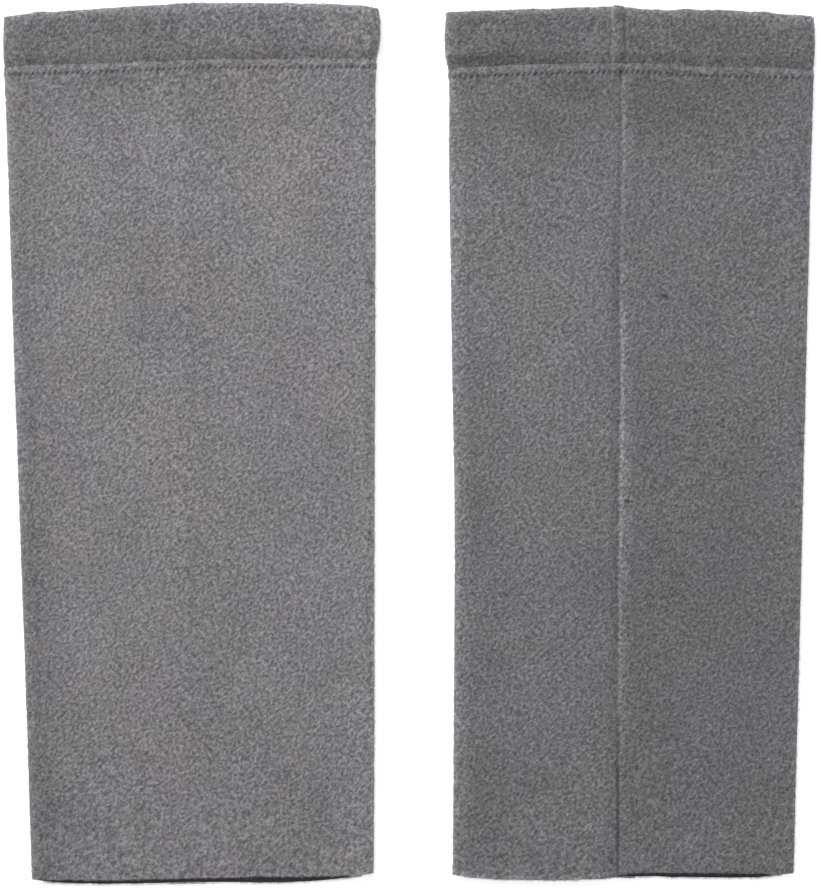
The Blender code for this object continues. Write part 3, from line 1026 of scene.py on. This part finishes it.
def surface_nap(points, layer, thick, count, seed, sense):
    """Fibres spread over the shown side of a grid of cloth, as thick as `thick` says.

    `sense` is 1 where they lie down the leg and -1 where they lie up it.
    """
    draw = np.random.default_rng(seed)
    a, b = points[:-1, :-1], points[:-1, 1:]
    c, d = points[1:, 1:], points[1:, :-1]
    normal = np.cross(b - d, c - a) * -1
    area = np.linalg.norm(normal, axis=2) / 2
    shown = area * (layer[:-1, :-1] > 0.12) * thick[:-1, :-1]
    cell = draw.choice(area.size, count, p=(shown / shown.sum()).ravel())
    i, j = np.divmod(cell, area.shape[1])
    s, t = draw.random(count)[:, None], draw.random(count)[:, None]
    root = (a[i, j] * (1 - s) + d[i, j] * s) * (1 - t) + (b[i, j] * (1 - s) + c[i, j] * s) * t
    unit = normal[i, j] / np.maximum(np.linalg.norm(normal[i, j], axis=1), 1e-9)[:, None]
    unit *= np.where(unit[:, 2] < -0.9, -1, 1)[:, None]
    ahead = d[i, j] - a[i, j]
    ahead *= sense / np.maximum(np.linalg.norm(ahead, axis=1), 1e-9)[:, None]
    beside = np.cross(unit, ahead)
    # Most are 1 to 2 mm long. They slant across the leg, stray widely and lie nearly flat, but stand
    # up more on the side folds and where a tuft is raised.
    length = np.clip(draw.lognormal(0.3, 0.4, count), 0.5, 3.2)
    yaw = draw.normal(math.radians(-25), math.radians(50), count)
    fold = 1 - np.abs(unit[:, 2])
    upright = np.clip(swell(root[:, 0] + root[:, 2], root[:, 1], 2.2, seed), 0, 1.5)
    tilt = np.radians(draw.uniform(3, 24, count) * (1 + 0.4 * upright) + fold * (8 + 30 * upright))
    length *= 1 - 0.45 * fold
    return fibres(root, ahead, beside, unit, length, yaw, tilt, draw)


def hem_fuzz(edge, count, seed):
    """Short fibres that stand out of a cut edge, away from the cloth."""
    draw = np.random.default_rng(seed)
    at = draw.random(count) * (len(edge) - 1)
    i = at.astype(int)
    root = edge[i] + (edge[np.minimum(i + 1, len(edge) - 1)] - edge[i]) * (at - i)[:, None]
    root[:, 2] -= draw.random(count) * PLY
    ahead = np.tile((0.0, -1.0, 0.0), (count, 1))
    normal = np.tile((0.0, 0.0, 1.0), (count, 1))
    beside = np.tile((1.0, 0.0, 0.0), (count, 1))
    length = draw.uniform(0.3, 1.3, count)
    yaw = draw.normal(0, math.radians(45), count)
    tilt = np.radians(draw.uniform(-12, 16, count))
    # Drawn a tone paler: painted light, for the glow of fibres lit from behind against the bright floor
    return fibres(root, ahead, beside, normal, length, yaw, tilt, draw, 1)


def outline_fuzz(path, out, count, seed):
    """Short fibres that stand off a fold seen edge-on; `path` runs along it, `out` points away."""
    draw = np.random.default_rng(seed)
    at = draw.random(count * 2) * (len(path) - 1)
    i = at.astype(int)
    root = path[i] + (path[i + 1] - path[i]) * (at - i)[:, None]
    clump = swell(root[:, 0] + seed, root[:, 1], 1.3, seed + 1)
    # Of twice as many, the half that gathers in clumps is kept
    keep = np.argsort(-clump - draw.normal(0, 0.7, len(clump)))[:count]
    root, ahead = root[keep], (path[i + 1] - path[i])[keep]
    ahead /= np.linalg.norm(ahead, axis=1)[:, None]
    root[:, 2] += draw.uniform(-0.9, 1.2, count)
    away = np.array(out, float) * np.ones((count, 1))
    length = draw.uniform(0.4, 1.15, count)
    yaw = draw.normal(0, math.radians(40), count)
    # Drawn two tones paler: painted light, for the glow of fibres lit from behind at the outline
    return fibres(root - away * 0.3, away, ahead, np.tile((0.0, 0.0, 1.0), (count, 1)), length, yaw,
                  np.radians(draw.uniform(-15, 25, count)), draw, 2)


# Specks of darker fluff caught in the nap: x, distance down, half length, half width
FLUFF = {
    "left": [],
    "right": [
        (115.6, 133.4, 1.0, 0.40),
        (116.7, 133.8, 0.6, 0.30),
        (98.9, 226.9, 0.9, 0.25),
    ],
}


def fluff(points, layer, x, down, half_long, half_wide, seed):
    """A small flat tangle of dark fibres on the upper layer."""
    draw = np.random.default_rng(seed)
    shown = points[layer == 1]
    nearest = shown[np.argmin(np.hypot(shown[:, 0] - x, shown[:, 1] - (LENGTH / 2 - down)))]
    count = int(52 * half_long)
    root = np.stack([x + draw.normal(0, half_long / 1.6, count),
                     LENGTH / 2 - down + draw.normal(0, half_wide / 1.6, count),
                     nearest[2] + draw.uniform(0.15, 0.4, count)], axis=-1)
    ahead, beside, normal = (np.tile(way, (count, 1)) for way in np.eye(3))
    length = draw.uniform(0.5, 1.2, count)
    return fibres(root, ahead, beside, normal, length, draw.normal(0, 0.8, count),
                  np.radians(draw.uniform(-4, 6, count)), draw, -3)


senses = {"left": 1, "right": -1}    # down the leg on the left warmer, up it on the right one
for side in ("left", "right"):
    points, layer, thick = grids[side]
    upper_edge = points[-1][layer[-1] == 1]
    under_edge = points[-1][layer[-1] == 0] + (0, 0, PLY)
    parts = [surface_nap(points, layer, thick, NAP_ON_BODY, NAP_SEEDS["body"], senses[side])]
    parts.append(hem_fuzz(upper_edge, HEM_FUZZ, NAP_SEEDS["hem"]))
    parts.append(hem_fuzz(under_edge, HEM_FUZZ, NAP_SEEDS["under_hem"]))
    for way in (-1, 1):
        fold = points[2:, int(np.argmax(points[BODY_RING, :, 0] * way))]
        parts.append(outline_fuzz(fold, (way, 0, 0), SIDE_FUZZ, NAP_SEEDS["side"] + way))
    for k, speck in enumerate(FLUFF[side]):
        parts.append(fluff(points, layer, *speck, NAP_SEEDS["fluff"] + k))
    body_nap = nap(side + "_body_nap", side, parts)

    # A band's rings run upwards, so they are turned round for its nap
    points, layer, thick = grids[side + "_band"]
    parts = [surface_nap(points[::-1], layer[::-1], thick[::-1], NAP_ON_BAND, NAP_SEEDS["band"],
                         senses[side])]
    for way in (-1, 1):
        fold = points[2:, int(np.argmax(points[BAND_RING, :, 0] * way))]
        parts.append(outline_fuzz(fold, (way, 0, 0), BAND_SIDE_FUZZ, NAP_SEEDS["band_side"] + way))
    top = int(np.argmax(points[:, BAND_COLUMN, 1]))
    top_fold = points[top][layer[top] == 1]
    parts.append(outline_fuzz(top_fold, (0, 1, 0), BAND_TOP_FUZZ, NAP_SEEDS["band_top"]))
    band_nap = nap(side + "_band_nap", side, parts)


# Floor
# A plain table top, painted matt white. It glows a little, so that it looks as evenly white as
# the photo's ground and still takes the soft shadows.

FLOOR_SIZE = 12.0          # metres
FLOOR_DROP = 0.0002        # it lies this much below the pair
bpy.ops.mesh.primitive_plane_add(size=FLOOR_SIZE, location=(0, 0, -FLOOR_DROP))
floor = bpy.context.object
floor.name = "floor"
white, _, paint = new_material("matt_white_paint", 0.9, 0.5)
paint.inputs["Base Color"].default_value = linear("#f3f3f3")
paint.inputs["Emission Color"].default_value = linear("#ffffff")
paint.inputs["Emission Strength"].default_value = 0.6
floor.data.materials.append(white)


# Light and camera
# One large soft light from the top left of the picture, a pale room round it, and a long lens
# straight above the middle of the pair.

scene = bpy.context.scene
world = bpy.data.worlds.new("pale_room")
world.use_nodes = True
room = world.node_tree.nodes["Background"]
room.inputs["Color"].default_value = linear("#ffffff")
room.inputs["Strength"].default_value = 0.47
scene.world = world

key_data = bpy.data.lights.new("window_light", "AREA")
key_data.shape = "SQUARE"
key_data.size = 1.1        # metres
key_data.energy = 104.0    # watts
key = bpy.data.objects.new("window_light", key_data)
key.location = (-1.25, 2.2, 1.7)
key.rotation_euler = (-Vector(key.location)).to_track_quat("-Z", "Y").to_euler()
scene.collection.objects.link(key)

PHOTO_HIGH = 889               # the picture's height in pixels
PIXEL = 0.456                  # size of one pixel at the cloth, mm
PHOTO_MIDDLE = (0.66, -0.4)    # the picture's middle in the pair's own frame, mm
camera_data = bpy.data.cameras.new("camera")
camera_data.lens = 100.0
camera_data.sensor_width = 36.0
# So high that, halfway up the cloth, one pixel takes in what it does in the photo
far = PHOTO_HIGH * PIXEL * camera_data.lens / camera_data.sensor_width + BODY_RISE / 2
camera = bpy.data.objects.new("camera", camera_data)
camera.location = (PHOTO_MIDDLE[0] * MM, PHOTO_MIDDLE[1] * MM, far * MM)
scene.collection.objects.link(camera)
scene.camera = camera
scene.view_settings.view_transform = "Standard"
